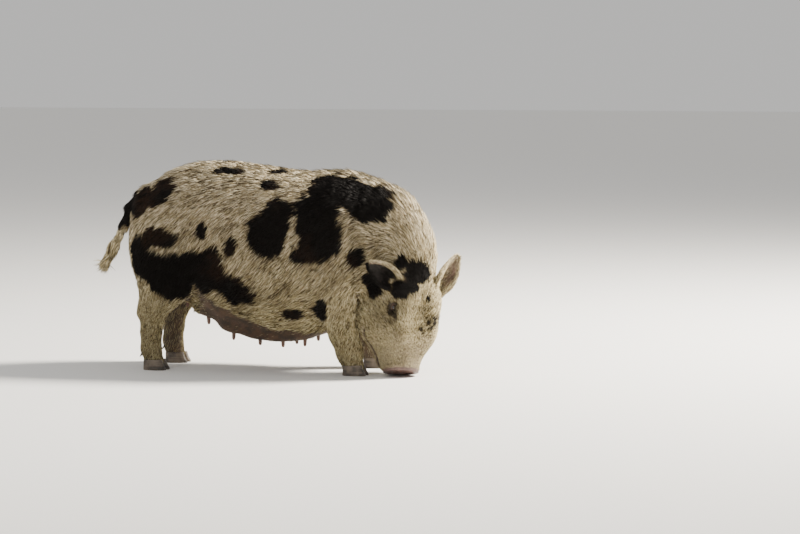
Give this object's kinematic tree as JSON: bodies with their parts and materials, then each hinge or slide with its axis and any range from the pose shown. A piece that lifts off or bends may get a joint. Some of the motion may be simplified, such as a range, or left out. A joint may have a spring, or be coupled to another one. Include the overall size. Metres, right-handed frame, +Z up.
{
  "type": "pot bellied pig",
  "caption": "Life-size still model of a spotted pot bellied sow, standing square with her snout to the ground, heavy belly, upright ears, straight tasselled tail.",
  "frame": {"origin": "on the ground, under the middle of the whole animal from the tassel of the tail to the tip of the left ear", "axes": "+X from the tail to the head, +Y to the sow's left, +Z up"},
  "size_m": [0.9436, 0.3854, 0.5263],
  "materials": {
    "coat_cream": "bristly hair",
    "coat_black": "bristly hair",
    "skin": "bare moist skin",
    "horn": "worn horn",
    "eye": "wet gloss"
  },
  "bodies": {
    "root": {"torso": "coat_cream", "neck": "coat_cream", "head": "coat_cream", "snout": "skin", "ear_left": "coat_cream", "ear_right": "coat_black", "eye_left": "eye", "eye_right": "eye", "tail": "coat_black", "leg_front_left": "coat_cream", "leg_front_right": "coat_cream", "leg_hind_left": "coat_cream", "leg_hind_right": "coat_cream", "claw_front_left_inner": "horn", "claw_front_left_outer": "horn", "claw_front_right_inner": "horn", "claw_front_right_outer": "horn", "claw_hind_left_inner": "horn", "claw_hind_left_outer": "horn", "claw_hind_right_inner": "horn", "claw_hind_right_outer": "horn", "dewclaw_front_left_inner": "horn", "dewclaw_front_left_outer": "horn", "dewclaw_front_right_inner": "horn", "dewclaw_front_right_outer": "horn", "dewclaw_hind_left_inner": "horn", "dewclaw_hind_left_outer": "horn", "dewclaw_hind_right_inner": "horn", "dewclaw_hind_right_outer": "horn"}
  },
  "joints": []
}
